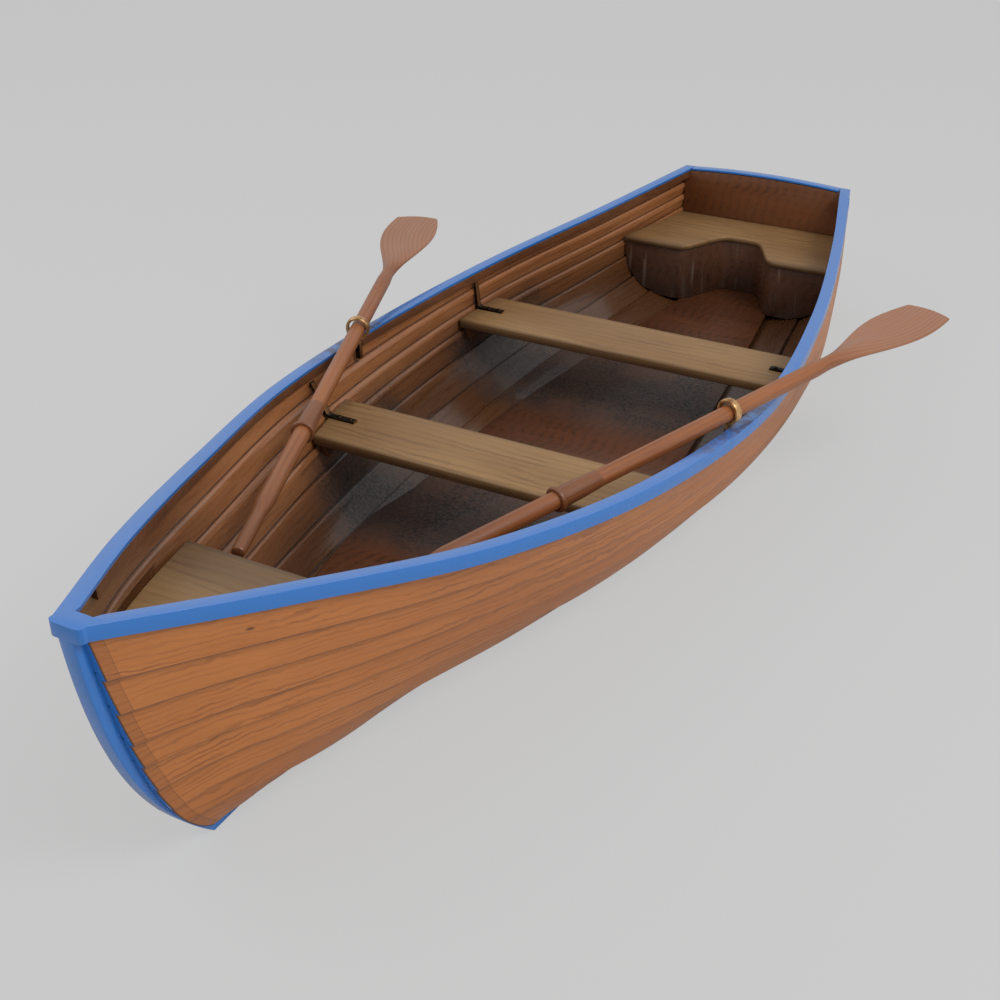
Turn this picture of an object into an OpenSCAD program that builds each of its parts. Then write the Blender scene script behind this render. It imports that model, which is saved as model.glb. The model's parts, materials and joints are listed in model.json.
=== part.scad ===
// Clinker-built rowing boat with two oars shipped in closed rowlocks.
// Frame: +X to port, -Y to the bow, +Z up, origin on the centreline, amidships, at the light waterline.
// "Along" is measured aft from the nose, and "height" is measured up from the underside of the keel.

/* [Hull] */
// Length from the nose to the transom
hull_length = 3600; // [3000:10:4400]
// Greatest half breadth at the sheer, inside the planking
half_breadth = 586; // [500:1:700]
// Height of the planking's top edge amidships
hull_depth = 376; // [320:1:450]
// Height of the light waterline
draft = 100; // [60:1:140]
// Height of the garboards' lower edge on the keel
rabbet_height = 27; // [20:1:40]
// Thickness of the keel and the stem
backbone_w = 34; // [26:1:46]

/* [Planking] */
// Thickness of each plank
plank_t = 9; // [6:0.5:12]
// Overlap of neighbouring planks
plank_lap = 16; // [12:1:20]
// Gap left between fastened pieces
fit_gap = 0.3; // [0.2:0.1:0.5]

/* [Rails] */
// Width of the rail's top
rail_w = 34; // [28:1:44]
// Thickness of the rail's top plate
rail_t = 8; // [6:1:12]
// Height of the rail's outer face
rail_face = 31; // [24:1:40]
// How far the rail stands proud of the planking
rail_proud = 8; // [5:1:12]
// Depth of the inwale
inwale_h = 27; // [20:1:36]
// Length of the bow cap between the rails
bow_cap_l = 50; // [40:1:160]
// Along position of the inwales' forward ends
inwale_front = 105; // [90:1:160]
// Half width of the flat nose
nose_half = 34; // [28:1:44]

/* [Transom] */
// Thickness of the transom
transom_t = 26; // [18:1:34]
// Height of the crown on the transom's top edge
transom_crown = 11; // [0:1:30]
// Thickness of the trim behind the transom and the plank ends
trim_t = 8; // [5:1:12]
// Width of the trim inside the planking
trim_w = 16; // [10:1:30]

/* [Floor] */
// Height of the floor's top amidships
floor_h = 48; // [44:1:70]
// Thickness of the floor
floor_t = 12; // [8:1:18]
// Along position of the floor's front edge
floor_front = 820; // [700:10:1100]
// Along position where the floor starts to rise towards the bow
floor_knee = 1600; // [1400:10:1900]
// Rise of the floor per unit of length ahead of that
floor_rise = 0.078; // [0:0.002:0.1]
// Gap between the floor and the planking
floor_gap = 6; // [3:1:14]
// How far the floor reaches under the stern seat, measured forward from the transom
floor_end = 170; // [40:10:200]

/* [Thwarts] */
// Thickness of each thwart
thwart_t = 28; // [20:1:36]
// Along position of the middle thwart's front edge
middle_thwart_at = 1326; // [1200:2:1500]
// Height of the middle thwart's top
middle_thwart_h = 290; // [250:1:310]
// Along position of the aft thwart's front edge
aft_thwart_at = 2262; // [2100:2:2450]
// Height of the aft thwart's top
aft_thwart_h = 250; // [220:1:290]
// Width of the middle and aft thwarts
thwart_w = 224; // [160:2:260]
// Along position of the bow seat's aft edge
bow_seat_aft = 606; // [520:2:660]
// Along position of the bow seat's front end
bow_seat_front = 190; // [150:2:260]
// Distance of the bow seat's top below the sheer
bow_seat_drop = 114; // [90:1:140]
// Depth of the cleats under the thwart ends
cleat_h = 40; // [34:1:60]
// Thickness of the cleats
cleat_t = 20; // [14:1:30]

/* [Stern seat] */
// Height of the stern seat's top
stern_seat_h = 256; // [220:1:290]
// Thickness of the stern seat
stern_seat_t = 22; // [16:1:30]
// Length of the stern seat's side lobes, forward from the transom
stern_lobe_l = 390; // [320:5:460]
// Length of the stern seat at its middle
stern_mid_l = 215; // [160:5:300]
// Half width of the recess in the stern seat's front edge
recess_half = 92; // [60:2:130]
// Width of the curve between the recess and each lobe
recess_blend = 130; // [80:2:180]
// Thickness of the panel under the stern seat
stern_panel_t = 14; // [10:1:20]
// How far the panel is set back from the seat's edge
stern_panel_back = 10; // [4:1:24]

/* [Knees] */
// Width of each iron knee
knee_w = 20; // [14:1:30]
// Thickness of the knee's bar
knee_t = 6; // [4:1:9]
// Length of the knee's foot on the thwart
knee_foot = 95; // [60:1:120]
// Height of the knee's riser against the planking
knee_rise = 92; // [60:1:110]
// Radius of the knee's bolt heads
knee_bolt_r = 6; // [4:0.5:8]

/* [Rowlocks] */
// Along position of the rowlock pins
rowlock_at = 1700; // [1600:1:1900]
// Height of the rings' centres above the sheer
ring_rise = 46; // [42:1:80]
// Wall of the ring
ring_wall = 9; // [7:0.5:12]
// Slack between the ring and the oar's shaft, on the radius
ring_slack = 4; // [2:0.5:7]
// Width of the ring
ring_w = 20; // [14:1:28]
// Radius of the rowlock's pin
pin_r = 6; // [5:0.5:8]
// Length of the pin in its socket
pin_l = 46; // [36:1:60]
// Running clearance between pin and socket, on the radius
pin_clear = 0.05; // [0.03:0.01:0.1]
// Outer radius of the socket
socket_r = 10; // [9:0.5:14]
// Height of the socket
socket_h = 42; // [34:1:56]
// Length of the socket's plate along the inwale
socket_plate_l = 64; // [50:1:90]
// Height of the socket's plate
socket_plate_h = 18; // [12:1:24]
// Thickness of the socket's plate
socket_plate_t = 4; // [3:0.5:6]

/* [Oars] */
// Angle of the shipped oars, blades outboard, from the boat's centreline
oar_heading = 20; // [17:0.1:22]
// Rise of the oars towards their blades
oar_tilt = 1.7; // [0:0.1:4]
// Radius of the oar's shaft
shaft_r = 21; // [18:0.5:22]
// Distance from the ring to the handle's end
handle_reach = 1129; // [1090:1:1135]
// Distance from the ring to the blade's tip
blade_reach = 866; // [820:1:1000]
// Length of the handle's grip
grip_l = 150; // [110:1:200]
// Radius of the grip
grip_r = 16.5; // [14:0.5:18]
// Distance from the ring to the collar
collar_reach = 589; // [560:1:640]
// How far the collar stands proud of the sleeve
collar_proud = 6; // [3:0.5:10]
// Length of the collar
collar_l = 14; // [8:1:24]
// Wall of the sleeve on the shaft
sleeve_wall = 4; // [2.5:0.5:7]
// Length of the sleeve
sleeve_l = 122; // [90:1:160]
// Length of the blade
blade_l = 470; // [380:2:560]
// Width of the blade
blade_w = 172; // [130:2:200]
// Width of the blade's cropped tip
blade_tip_w = 138; // [60:2:160]
// Thickness of the blade
blade_t = 14; // [8:1:20]

/* [Hidden] */
SIDES = ["port", "starboard"];
STRAKES = [1:8];

// Colours of the timber, paint and metal
plank_colour = "peru";
inside_colour = "saddlebrown";
paint_colour = "royalblue";
seat_colour = "tan";
oar_colour = "sienna";
brass_colour = "darkkhaki";
iron_colour = "dimgray";

// Hull lines as shares: along of the hull's length, breadths of the half breadth, heights of the depth.
// The floor and bilge columns are the two inner handles of each section's curve from keel to sheer.
// along, breadth, sheer height, floor breadth, floor height, bilge breadth, bilge height
LINES = [
    [0.097, 0.321, 1.564, 0.096, 0.043, 0.222, 0.532],
    [0.222, 0.645, 1.306, 0.353, 0.040, 0.401, 0.360],
    [0.361, 0.894, 1.133, 0.682, 0.037, 0.604, 0.186],
    [0.528, 1.000, 1.000, 0.906, 0.060, 0.826, 0.160],
    [0.694, 0.912, 0.992, 0.901, 0.080, 0.915, 0.217],
    [0.861, 0.717, 1.018, 0.713, 0.093, 0.729, 0.242],
    [1.000, 0.509, 1.104, 0.510, 0.105, 0.520, 0.265]];
// Curves of the bow in profile, from the keel up, as shares: along, height
RABBET = [[0.0710, 0.072], [0.0333, 0.293], [0.0172, 0.990], [0.0044, 1.755]];
STEM_FRONT = [[0.0733, 0], [0.0260, 0.455], [0.0070, 0.971], [0.0000, 1.697]];
STEM_BACK = [[0.1050, 0.240], [0.0660, 0.400], [0.0340, 0.990], [0.0130, 1.700]];
// Upper edge of each strake as a share of the girth from keel to sheer:
// at the stem, amidships, at the transom
STRAKE_EDGES = [
    [0.185, 0.227, 0.200],
    [0.282, 0.455, 0.400],
    [0.396, 0.571, 0.530],
    [0.504, 0.688, 0.650],
    [0.602, 0.779, 0.750],
    [0.727, 0.851, 0.835],
    [0.850, 0.922, 0.915],
    [1.000, 1.000, 1.000]];
STRAKE_EDGES_MID = 0.528;    // share of the length at which the middle column holds

half_w = backbone_w / 2;
plank_x = half_w + fit_gap;
stem_top_along = RABBET[3][0] * hull_length;
KNOTS = concat([stem_top_along], [for (row = LINES) row[0] * hull_length]);
CONTROLS = concat(
    [[for (p = RABBET) [plank_x, p[0] * hull_length, p[1] * hull_depth]]],
    [for (r = LINES) let(y = r[0] * hull_length)
        [[plank_x, y, rabbet_height],
         [r[3] * half_breadth, y, r[4] * hull_depth],
         [r[5] * half_breadth, y, r[6] * hull_depth],
         [r[1] * half_breadth, y, r[2] * hull_depth]]]);
LAST = len(KNOTS) - 1;

function place(p) = [p.x, p.y - hull_length / 2, p.z - draft];
function lerp(a, b, t) = a + (b - a) * t;
function bezier(c, t) =
    c[0] * pow(1 - t, 3) + c[1] * 3 * t * pow(1 - t, 2) + c[2] * 3 * t * t * (1 - t) + c[3] * pow(t, 3);
function bezier_slope(c, t) =
    (c[1] - c[0]) * 3 * pow(1 - t, 2) + (c[2] - c[1]) * 6 * t * (1 - t) + (c[3] - c[2]) * 3 * t * t;
function hermite(a, b, slope_a, slope_b, h, t) =
    a * (2 * pow(t, 3) - 3 * t * t + 1) + slope_a * h * (pow(t, 3) - 2 * t * t + t)
    + b * (3 * t * t - 2 * pow(t, 3)) + slope_b * h * (pow(t, 3) - t * t);
function knot_before(u, i = 0) = i >= LAST - 1 || u < KNOTS[i + 1] ? i : knot_before(u, i + 1);
// Slope of a control point along the hull; the stations behind the stem stay in planes across the boat
function control_slope(i, j) = let(
    a = max(i - 1, 0), b = min(i + 1, LAST),
    s = (CONTROLS[b][j] - CONTROLS[a][j]) / (KNOTS[b] - KNOTS[a]))
    i == 0 ? s : [s.x, 1, s.z];
function section(u) = let(i = knot_before(u), h = KNOTS[i + 1] - KNOTS[i], t = (u - KNOTS[i]) / h)
    [for (j = [0:3]) hermite(CONTROLS[i][j], CONTROLS[i + 1][j], control_slope(i, j),
                             control_slope(i + 1, j), h, t)];

// A station holds: 0 its along value, 1 its section, 2 a table from girth share to curve parameter,
// 3 and 4 the sections just aft and just forward of it, 5 its girth
girth_steps = 24;
neighbour = 4;
function sums(v, i = 0, total = 0) = i > len(v) ? [] : concat([total], i == len(v) ? [] :
    sums(v, i + 1, total + v[i]));
function station(u) = let(
    c = section(u),
    pts = [for (k = [0:girth_steps]) bezier(c, k / girth_steps)],
    run = sums([for (k = [1:girth_steps]) norm(pts[k] - pts[k - 1])]),
    total = run[girth_steps])
    [u, c, [for (k = [0:girth_steps]) [run[k] / total, k / girth_steps]],
     section(min(u + neighbour, hull_length)), section(max(u - neighbour, stem_top_along)), total];
// Point on a station at a share of its girth, moved outwards within the plane across the boat
function on_hull(s, share, out = 0) = let(
    t = lookup(share, s[2]),
    n = cross(bezier(s[3], t) - bezier(s[4], t), bezier_slope(s[1], t)),
    flat = norm([n.x, n.z]))
    bezier(s[1], t) + [n.x, 0, n.z] / flat * out * norm(n) / flat;
// Half breadth of the planking's inner surface at an along value behind the bow and a height
function breadth_at(along, height) = let(c = section(along))
    lookup(height, [for (k = [4:40]) let(p = bezier(c, k / 40)) [p.z, p.x]]);
function sheer_slope(u) = let(a = section(max(u - neighbour, stem_top_along))[3],
    b = section(min(u + neighbour, hull_length))[3]) (b.x - a.x) / (b.y - a.y);

// Stations along the hull, closer together at the bow, with one at the transom's front face
hull_steps = 32;
HULL_ALONG = concat(
    [for (k = [0:hull_steps - 1]) let(s = k / (hull_steps - 1))
        lerp(stem_top_along, hull_length - transom_t, 0.55 * s + 0.45 * s * s)],
    [hull_length]);
STATIONS = [for (u = HULL_ALONG) station(u)];

function edge_share(i, u) = i < 0 ? 0 : let(
    e = STRAKE_EDGES[i], mid = STRAKE_EDGES_MID * hull_length, span = hull_length - stem_top_along,
    ahead = u < mid, h = ahead ? mid - stem_top_along : hull_length - mid,
    t = ahead ? (u - stem_top_along) / h : (u - mid) / h, through = (e[2] - e[0]) / span)
    ahead ? hermite(e[0], e[1], (e[1] - e[0]) / h, through, h, t)
          : hermite(e[1], e[2], through, (e[2] - e[1]) / h, h, t);

// Closed solid through rings of equal size; the rings' last half is split the other way,
// so that lapped neighbours share the same facets
module loft(rings) {
    n = len(rings[0]);
    last = len(rings) - 1;
    points = [for (r = rings, p = r) place(p)];
    sides = [for (k = [0:last - 1], j = [0:n - 1]) let(
        a = k * n + j, b = k * n + (j + 1) % n, c = a + n, d = b + n)
        each j < n / 2 ? [[a, b, c], [b, d, c]] : [[a, b, d], [a, d, c]]];
    ends = [[for (j = [n - 1:-1:0]) j], [for (j = [0:n - 1]) last * n + j]];
    polyhedron(points, concat(sides, ends), convexity = 8);
}

// A long timber in two lengths, butted at one of its rings
module two_lengths(rings, cut) {
    loft([for (k = [0:cut]) rings[k]]);
    loft(concat([[for (p = rings[cut]) p + [0, fit_gap, 0]]],
        [for (k = [cut + 1:len(rings) - 1]) rings[k]]));
}

// Runs its children on one side of the boat
module on_side(side) {
    if (side == "port") children();
    else mirror([1, 0, 0]) children();
}

// Across the boat the outline [half breadth, along] on both sides, as a flat board
module board(edge, top, thickness) {
    outline = concat([for (p = edge) [p.x, p.y]],
        [for (k = [len(edge) - 1:-1:0]) if (edge[k].x > 0) [-edge[k].x, edge[k].y]]);
    translate([0, -hull_length / 2, top - thickness - draft]) linear_extrude(thickness) polygon(outline);
}

// ---- Backbone ----
function floor_top(u) = floor_h + floor_rise * max(0, floor_knee - u);
curve_steps = 14;
scarf_along = STEM_BACK[0][0] * hull_length;
function profile(curve) = [for (k = [0:curve_steps]) let(
    c = [for (p = curve) [p[0] * hull_length, p[1] * hull_depth]]) bezier(c, k / curve_steps)];

module backbone_plate(outline) {
    translate([-half_w, -hull_length / 2, -draft]) rotate([90, 0, 90])
        linear_extrude(backbone_w) polygon(outline);
}

module stem() {
    front = profile(STEM_FRONT);
    back = profile(STEM_BACK);
    head = front[curve_steps].y;
    head_top = RABBET[3][1] * hull_depth - fit_gap;
    color(paint_colour) backbone_plate(concat(
        [[scarf_along - fit_gap, 0]], front,
        [[apron_t + fit_gap, head], [apron_t + fit_gap, head_top]],
        [for (k = [curve_steps:-1:0]) back[k] - [fit_gap, 0]]));
}

module keel() {
    under = floor_t + fit_gap;
    face = hull_length - transom_t - fit_gap;
    color(paint_colour) backbone_plate([
        [scarf_along, 0], [hull_length, 0], [hull_length, rabbet_height - fit_gap],
        [face, rabbet_height - fit_gap], [face, floor_top(hull_length) - under],
        [floor_knee, floor_top(floor_knee) - under], [floor_front, floor_top(floor_front) - under],
        [scarf_along, STEM_BACK[0][1] * hull_depth]]);
}

// ---- Planking ----
// Outer lower corner of the garboard, kept off the keel's side
function garboard_foot(s) = let(
    p = on_hull(s, 0, plank_t), c = s[1], inward = max(0, plank_x - p.x),
    slope = min(2, (c[1].z - c[0].z) / max(1, c[1].x - c[0].x)))
    p + [inward, 0, inward * slope];

// Station at which a strake's two lengths meet, staggered from plank to plank
function butt(number) = 14 + 3 * (number % 3);

module garboard(side) {
    rings = [for (s = STATIONS) let(
        high = edge_share(0, s[0]), lap = plank_lap / s[5],
        shares = [high / 2, high - lap, high])
        concat([for (share = shares) on_hull(s, share, plank_t)],
            [for (k = [2:-1:0]) on_hull(s, shares[k])],
            [on_hull(s, lap), on_hull(s, 0), garboard_foot(s), on_hull(s, lap, plank_t)])];
    color(plank_colour) on_side(side) two_lengths(rings, butt(1));
}

module strake(side, number) {
    i = number - 1;
    step = plank_t + fit_gap;
    rings = [for (s = STATIONS) let(
        low = edge_share(i - 1, s[0]), high = edge_share(i, s[0]), lap = plank_lap / s[5],
        foot = low - lap, bevel = high - lap)
        [on_hull(s, foot, step + plank_t), on_hull(s, (foot + bevel) / 2, step / 2 + plank_t),
         on_hull(s, bevel, plank_t), on_hull(s, high, plank_t),
         on_hull(s, high), on_hull(s, (low + high) / 2, step / 2),
         on_hull(s, low, step), on_hull(s, foot, step)]];
    color(plank_colour) on_side(side) two_lengths(rings, butt(number));
}

// ---- Rails ----
apron_t = 8;
rail_in = rail_w - plank_t - rail_proud;
inwale_w = rail_in - 1;
nose_in = 20;
function stretch(u) = sqrt(1 + pow(sheer_slope(u), 2));
function rail_inner(s) = max(nose_in, s[1][3].x - rail_in * stretch(s[0]));
// Outer offset of the top strake's face at a distance below the sheer
function top_strake_out(s, drop) = let(width = (1 - edge_share(6, s[0])) * s[5])
    plank_t + (plank_t + fit_gap) * max(0, drop - plank_lap) / width;
function rail_ring(s) = let(
    top = s[1][3], k = stretch(s[0]), drop = rail_face - rail_t,
    low = on_hull(s, 1 - drop / s[5], top_strake_out(s, drop)) + [3 * fit_gap, 0, 0],
    outer = top.x + (plank_t + rail_proud) * k, leg = top.x + (plank_t + 3 * fit_gap) * k,
    under = top.z + fit_gap)
    [[outer, top.y, under + rail_t], [rail_inner(s), top.y, under + rail_t - 2],
     [rail_inner(s), top.y, under], [leg, top.y, under],
     [min(low.x, outer - 3), top.y, low.z], [outer, top.y, low.z]];
// The rail's ring carried to another along value, as it is at the nose and behind the transom
function shifted(ring, along) = [for (p = ring) [p.x, along, p.z]];
nose_z = CONTROLS[0][3].z + fit_gap;
NOSE_RING = [[nose_half, 0, nose_z + rail_t], [nose_in, 0, nose_z + rail_t - 1],
    [nose_in, 0, nose_z], [nose_in + 1, 0, nose_z],
    [nose_in + 1, 0, nose_z - rail_face + rail_t], [nose_half, 0, nose_z - rail_face + rail_t]];

module rail(side) {
    rings = [for (s = STATIONS) rail_ring(s)];
    color(paint_colour) on_side(side) two_lengths(
        concat([NOSE_RING], rings, [shifted(rings[len(rings) - 1], hull_length + trim_t)]), butt(2));
}

module inwale(side) {
    rings = [for (s = STATIONS) if (s[0] > inwale_front && s[0] < hull_length - transom_t / 2) let(
        top = s[1][3], low = on_hull(s, 1 - inwale_h / s[5]), inner = top.x - inwale_w * stretch(s[0]),
        y = s[0] > hull_length - transom_t - 1 ? top.y - fit_gap : top.y)
        [[top.x - fit_gap, y, top.z - fit_gap], [inner, y, top.z - fit_gap],
         [inner, y, low.z], [low.x - fit_gap, y, low.z]]];
    color(inside_colour) on_side(side) loft(rings);
}

module bow_cap() {
    apron_low = STEM_FRONT[3][1] * hull_depth + fit_gap;
    cut = station(bow_cap_l);
    rows = concat([[nose_in, 0, nose_z]],
        [for (s = STATIONS) if (s[0] < bow_cap_l) [rail_inner(s), s[0], s[1][3].z + fit_gap]],
        [[rail_inner(cut), bow_cap_l, cut[1][3].z + fit_gap]]);
    color(paint_colour) {
        loft([for (r = rows) let(x = r.x - fit_gap, z = r.z)
            [[x, r.y, z + rail_t - 2], [-x, r.y, z + rail_t - 2], [-x, r.y, z], [x, r.y, z]]]);
        loft([for (y = [0, apron_t]) let(x = nose_in - fit_gap, z = nose_z)
            [[x, y, z], [-x, y, z], [-x, y, apron_low], [x, y, apron_low]]]);
    }
}

// ---- Transom ----
TRANSOM_FACE = station(hull_length - transom_t);
TRANSOM_BACK = STATIONS[len(STATIONS) - 1];
transom_steps = 22;
cap_half = rail_inner(TRANSOM_BACK) - fit_gap;
function crown_at(x) = transom_crown * max(0, 1 - pow(x / cap_half, 2));
function transom_ring(s, y) = let(
    sheer = s[1][3].z,
    shares = concat([for (i = STRAKES) let(low = edge_share(i - 2, s[0]), high = edge_share(i - 1, s[0]))
        each [low, (low + high) / 2]], [1]),
    side = [for (share = shares) let(p = on_hull(s, share, -2 * fit_gap))
        [p.x, y, min(max(p.z, rabbet_height), sheer)]],
    top = [for (k = [0:transom_steps]) let(x = lerp(cap_half, -cap_half, k / transom_steps))
        [x, y, sheer + crown_at(x)]])
    concat(side, top, [for (k = [len(side) - 1:-1:0]) [-side[k].x, y, side[k].z]]);

module transom() {
    color(inside_colour)
        loft([for (s = [TRANSOM_FACE, TRANSOM_BACK]) transom_ring(s, s[0])]);
}

module transom_trim() {
    share_end = 1 - rail_face / TRANSOM_BACK[5];
    steps = [for (k = [0:transom_steps]) on_hull(TRANSOM_BACK, share_end * k / transom_steps,
        2 * plank_t + fit_gap)];
    inner = [for (k = [0:transom_steps]) on_hull(TRANSOM_BACK, share_end * k / transom_steps, -trim_w)];
    outline = concat([for (p = steps) [p.x, p.z]],
        [for (k = [transom_steps:-1:0]) [max(inner[k].x, plank_x), inner[k].z]]);
    color(paint_colour) for (side = SIDES) on_side(side)
        translate([0, hull_length / 2 + trim_t, -draft]) rotate([90, 0, 0])
            linear_extrude(trim_t - fit_gap) polygon(outline);
}

module transom_cap() {
    base = TRANSOM_BACK[1][3].z + 2 * fit_gap;
    xs = [for (k = [0:transom_steps]) lerp(cap_half, -cap_half, k / transom_steps)];
    outline = concat([for (x = xs) [x, base + crown_at(x) + rail_t]],
        [for (k = [transom_steps:-1:0]) [xs[k], base + crown_at(xs[k])]]);
    color(paint_colour) translate([0, hull_length / 2 + trim_t, -draft]) rotate([90, 0, 0])
        linear_extrude(transom_t + trim_t) polygon(outline);
}

// ---- Floor ----
module floor_panel() {
    steps = 14;
    back = hull_length - floor_end;
    rings = [for (k = [0:steps]) let(
        u = lerp(floor_front, back, k / steps), z = floor_top(u), x = breadth_at(u, z - floor_t) - floor_gap)
        [[x, u, z], [-x, u, z], [-x, u, z - floor_t], [x, u, z - floor_t]]];
    color(inside_colour) loft(rings);
}

// ---- Seats ----
function fitted(along, height) = breadth_at(along, height) - 2 * fit_gap;
thwart_steps = 3;
module thwart(at, height) {
    edge = [for (k = [0:thwart_steps]) let(u = at + thwart_w * k / thwart_steps)
        [fitted(u, height - thwart_t), u]];
    color(seat_colour) board(edge, height, thwart_t);
}
module middle_thwart() { thwart(middle_thwart_at, middle_thwart_h); }
module aft_thwart() { thwart(aft_thwart_at, aft_thwart_h); }

BOW_SEAT = [for (k = [0:5]) station(lerp(bow_seat_front, bow_seat_aft, k / 5))];
module bow_seat() {
    rings = [for (s = BOW_SEAT) let(
        a = on_hull(s, 1 - bow_seat_drop / s[5], -2 * fit_gap),
        b = on_hull(s, 1 - (bow_seat_drop + thwart_t) / s[5], -2 * fit_gap))
        [a, [-a.x, a.y, a.z], [-b.x, b.y, b.z], b]];
    color(seat_colour) loft(rings);
}

// Front edge of the stern seat: two lobes with a smooth recess between them
function recess(x) = let(t = min(max((abs(x) - recess_half / 2) / recess_blend, 0), 1))
    lerp(stern_mid_l, stern_lobe_l, (1 - cos(180 * t)) / 2);
function lobe_edge(back, x_end, steps = 26) = [for (k = [0:steps]) let(x = x_end * k / steps)
    [x, hull_length - recess(x) + back]];

module stern_seat() {
    low = stern_seat_h - stern_seat_t;
    front = hull_length - stern_lobe_l;
    rear = hull_length - transom_t - fit_gap;
    hull_edge = [for (k = [0:4]) let(u = lerp(front, rear, k / 4)) [fitted(u, low), u]];
    edge = concat(lobe_edge(0, fitted(front, low) - 1), hull_edge, [[0, rear]]);
    color(seat_colour) board(edge, stern_seat_h, stern_seat_t);
}

module stern_panel() {
    top = stern_seat_h - stern_seat_t - fit_gap;
    base = floor_top(hull_length) + fit_gap;
    x_end = half_breadth;
    face = lobe_edge(stern_panel_back, x_end, 40);
    band = concat(face, [for (k = [len(face) - 1:-1:0]) [face[k].x, face[k].y + stern_panel_t]]);
    slices = 8;
    steps = 8;
    from = hull_length - stern_lobe_l;
    to = hull_length - stern_mid_l + stern_panel_back + stern_panel_t + 4;
    color(inside_colour) for (side = SIDES) on_side(side) intersection() {
        translate([0, -hull_length / 2, base - draft]) linear_extrude(top - base) polygon(band);
        loft([for (k = [0:steps]) let(u = lerp(from, to, k / steps)) concat(
            [for (j = [0:slices]) let(z = lerp(base - 1, top + 1, j / slices)) [fitted(u, z), u, z]],
            [[-1, u, top + 1], [-1, u, base - 1]])]);
    }
}

// Cleats that carry the seats' ends, seated against the planking's lands
function cleat_ring(outer_top, outer_low) =
    [outer_top, [outer_top.x - cleat_t, outer_top.y, outer_top.z],
     [outer_low.x - cleat_t, outer_low.y, outer_low.z], outer_low];
module thwart_cleat(at, height) {
    top = height - thwart_t - fit_gap;
    loft([for (k = [0:2]) let(u = at + thwart_w * (0.1 + 0.4 * k)) cleat_ring(
        [breadth_at(u, top) - fit_gap, u, top],
        [breadth_at(u, top - cleat_h) - fit_gap, u, top - cleat_h])]);
}
module seat_cleats(side) {
    drop = bow_seat_drop + thwart_t + fit_gap;
    color(inside_colour) on_side(side) {
        thwart_cleat(middle_thwart_at, middle_thwart_h);
        thwart_cleat(aft_thwart_at, aft_thwart_h);
        loft([for (k = [2:5]) let(s = BOW_SEAT[k]) cleat_ring(
            on_hull(s, 1 - drop / s[5], -fit_gap), on_hull(s, 1 - (drop + cleat_h) / s[5], -fit_gap))]);
    }
}

// ---- Iron knees ----
module knee(side, at, height) {
    mid = at + thwart_w / 2;
    function inside(z) = min(breadth_at(mid - knee_w / 2, z), breadth_at(mid + knee_w / 2, z)) - fit_gap;
    root = [inside(height), height];
    tip = [inside(height + knee_rise), height + knee_rise];
    outline = [root, tip, tip - [knee_t, 0], root + [-knee_t - 4, knee_t + 6], root + [-knee_t - 12, knee_t],
        [root.x - knee_foot, height + knee_t], [root.x - knee_foot, height]];
    color(iron_colour) on_side(side) {
        translate([0, mid + knee_w / 2 - hull_length / 2, -draft]) rotate([90, 0, 0])
            linear_extrude(knee_w) polygon(outline);
        for (reach = [0.45, 0.82])
            translate([root.x - knee_foot * reach, mid - hull_length / 2, height + knee_t - draft - 0.5])
                cylinder(h = 4, r = knee_bolt_r, $fn = 24);
    }
}

// ---- Rowlocks ----
ROWLOCK_SHEER = section(rowlock_at)[3];
sheer_heading = -atan(sheer_slope(rowlock_at));
socket_face = ROWLOCK_SHEER.x - inwale_w * stretch(rowlock_at) - 2.5 * fit_gap;
pin_x = socket_face - socket_r;
PIN = place([pin_x, rowlock_at, ROWLOCK_SHEER.z + ring_rise]);
ring_hole_r = shaft_r + ring_slack;
ring_r = ring_hole_r + ring_wall;
socket_top = ROWLOCK_SHEER.z - draft - 3;

// Carries a piece drawn along +Y from the ring's centre to the shipped oar's line
module along_oar() {
    translate(PIN) rotate([0, 0, -oar_heading]) rotate([oar_tilt, 0, 0]) children();
}

module socket(side) {
    color(iron_colour) on_side(side) difference() {
        union() {
            translate([PIN.x, PIN.y, socket_top - socket_h]) cylinder(h = socket_h, r = socket_r, $fn = 48);
            translate([socket_face, PIN.y, socket_top - socket_plate_h - 3]) rotate([0, 0, sheer_heading])
                translate([-socket_plate_t, -socket_plate_l / 2, 0])
                    cube([socket_plate_t, socket_plate_l, socket_plate_h]);
        }
        translate([PIN.x, PIN.y, socket_top - socket_h - 1])
            cylinder(h = socket_h + 2, r = pin_r + pin_clear, $fn = 48);
    }
}

module rowlock(side) {
    shoulder = 2;
    color(brass_colour) on_side(side) difference() {
        union() {
            along_oar() rotate([90, 0, 0]) translate([0, 0, -ring_w / 2])
                cylinder(h = ring_w, r = ring_r, $fn = 72);
            translate([PIN.x, PIN.y, socket_top - pin_l])
                cylinder(h = PIN.z - socket_top + pin_l - ring_r + 4, r = pin_r, $fn = 48);
            translate([PIN.x, PIN.y, socket_top + fit_gap])
                cylinder(h = PIN.z - ring_r + 3 - socket_top, r = pin_r + shoulder, $fn = 48);
        }
        along_oar() rotate([90, 0, 0]) translate([0, 0, -ring_w / 2 - 20])
            cylinder(h = ring_w + 40, r = ring_hole_r, $fn = 72);
    }
}

// ---- Oars ----
// The shaft rests in the bottom of the ring
oar_drop = ring_slack - fit_gap;
taper_l = 60;
neck_r = 15;

// Half width of the blade at a distance from its root
function blade_half(d) = let(t = d / blade_l, swell = sin(90 * min(t / 0.72, 1)))
    t < 0.72 ? lerp(neck_r, blade_w / 2, pow(swell, 1.6))
             : lerp(blade_w / 2, blade_tip_w / 2, pow((t - 0.72) / 0.28, 1.8));

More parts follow.
